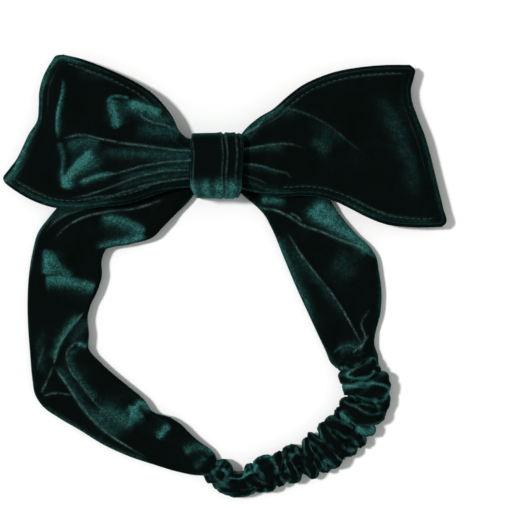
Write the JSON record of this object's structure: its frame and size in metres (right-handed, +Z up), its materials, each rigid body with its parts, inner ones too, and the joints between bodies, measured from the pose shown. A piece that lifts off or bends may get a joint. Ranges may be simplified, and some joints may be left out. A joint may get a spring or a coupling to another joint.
{
  "type": "bow headband",
  "caption": "Velvet headband: a padded bow gathered in a knot wrap on a flat tube band whose gathered casing stretches on elastic.",
  "frame": {"origin": "on the face the headband lies on, under the middle of the knot wrap", "axes": "+Z up out of the table through the knot, +X along the bow to the right wing, the loop reaches to -Y"},
  "size_m": [0.2285, 0.2323, 0.0245],
  "materials": {
    "velvet": "short-pile velvet, bottle green",
    "velvet_gathered": "short-pile velvet, gathered",
    "interlining": "non-woven wadding",
    "elastic": "braided elastic tape",
    "thread": "spun sewing thread"
  },
  "bodies": {
    "knot": {"knot_wrap": "velvet", "knot_closing_stitches": "thread", "bow_pleats": "velvet", "gathering_thread": "thread", "band_centre": "velvet"},
    "left_wing": {"left_bow_front": "velvet", "left_bow_back": "velvet", "left_bow_interlining": "interlining", "left_bow_stitching": "thread"},
    "right_wing": {"right_bow_front": "velvet", "right_bow_back": "velvet", "right_bow_interlining": "interlining", "right_bow_stitching": "thread"},
    "left_band": {"left_band_tube": "velvet", "left_band_interlining": "interlining", "left_elastic_tail": "elastic", "left_join_stitches": "thread"},
    "right_band": {"right_band_tube": "velvet", "right_band_interlining": "interlining", "right_elastic_tail": "elastic", "right_join_stitches": "thread"},
    "casing_1": {"casing_gather_1": "velvet_gathered", "casing_gather_2": "velvet_gathered", "elastic_1": "elastic", "elastic_2": "elastic"},
    "casing_2": {"casing_gather_3": "velvet_gathered", "casing_gather_4": "velvet_gathered", "elastic_3": "elastic", "elastic_4": "elastic"},
    "casing_3": {"casing_gather_5": "velvet_gathered", "casing_gather_6": "velvet_gathered", "elastic_5": "elastic", "elastic_6": "elastic"},
    "casing_4": {"casing_gather_7": "velvet_gathered", "casing_gather_8": "velvet_gathered", "elastic_7": "elastic", "elastic_8": "elastic"},
    "casing_5": {"casing_gather_9": "velvet_gathered", "casing_gather_10": "velvet_gathered", "elastic_9": "elastic", "elastic_10": "elastic"},
    "casing_6": {"casing_gather_11": "velvet_gathered", "casing_gather_12": "velvet_gathered", "elastic_11": "elastic", "elastic_12": "elastic"}
  },
  "joints": [
    {"name": "left_wing_lift", "type": "hinge", "parent": "knot", "child": "left_wing", "pos_m": [-0.016, 0, 0.013], "axis": [0, 1, 0], "range_deg": [0, 35]},
    {"name": "right_wing_lift", "type": "hinge", "parent": "knot", "child": "right_wing", "pos_m": [0.016, 0, 0.013], "axis": [0, -1, 0], "range_deg": [0, 35]},
    {"name": "stretch", "type": "hinge", "parent": "knot", "child": "left_band", "pos_m": [0, 0, 0], "axis": [0, 0, -1], "range_deg": [0, 8.5], "stiffness_Nm_per_rad": 0.4},
    {"name": "right_band_open", "type": "hinge", "parent": "knot", "child": "right_band", "pos_m": [0, 0, 0], "axis": [0, 0, 1], "range_deg": [0, 8]},
    {"name": "casing_1_open", "type": "hinge", "parent": "left_band", "child": "casing_1", "pos_m": [0, 0, 0], "axis": [0, 0, 1], "range_deg": [0, 1.28]},
    {"name": "casing_2_open", "type": "hinge", "parent": "casing_1", "child": "casing_2", "pos_m": [0, 0, 0], "axis": [0, 0, 1], "range_deg": [0, 3.24]},
    {"name": "casing_3_open", "type": "hinge", "parent": "casing_2", "child": "casing_3", "pos_m": [0, 0, 0], "axis": [0, 0, 1], "range_deg": [0, 3.92]},
    {"name": "casing_4_open", "type": "hinge", "parent": "casing_3", "child": "casing_4", "pos_m": [0, 0, 0], "axis": [0, 0, 1], "range_deg": [0, 3.92]},
    {"name": "casing_5_open", "type": "hinge", "parent": "casing_4", "child": "casing_5", "pos_m": [0, 0, 0], "axis": [0, 0, 1], "range_deg": [0, 3.15]},
    {"name": "casing_6_open", "type": "hinge", "parent": "casing_5", "child": "casing_6", "pos_m": [0, 0, 0], "axis": [0, 0, 1], "range_deg": [0, 1.03]}
  ],
  "couplings": [
    {"joint": "right_band_open", "follows": "stretch", "ratio": 0.94},
    {"joint": "casing_1_open", "follows": "stretch", "ratio": 0.15},
    {"joint": "casing_2_open", "follows": "stretch", "ratio": 0.38},
    {"joint": "casing_3_open", "follows": "stretch", "ratio": 0.46},
    {"joint": "casing_4_open", "follows": "stretch", "ratio": 0.46},
    {"joint": "casing_5_open", "follows": "stretch", "ratio": 0.37},
    {"joint": "casing_6_open", "follows": "stretch", "ratio": 0.12}
  ]
}
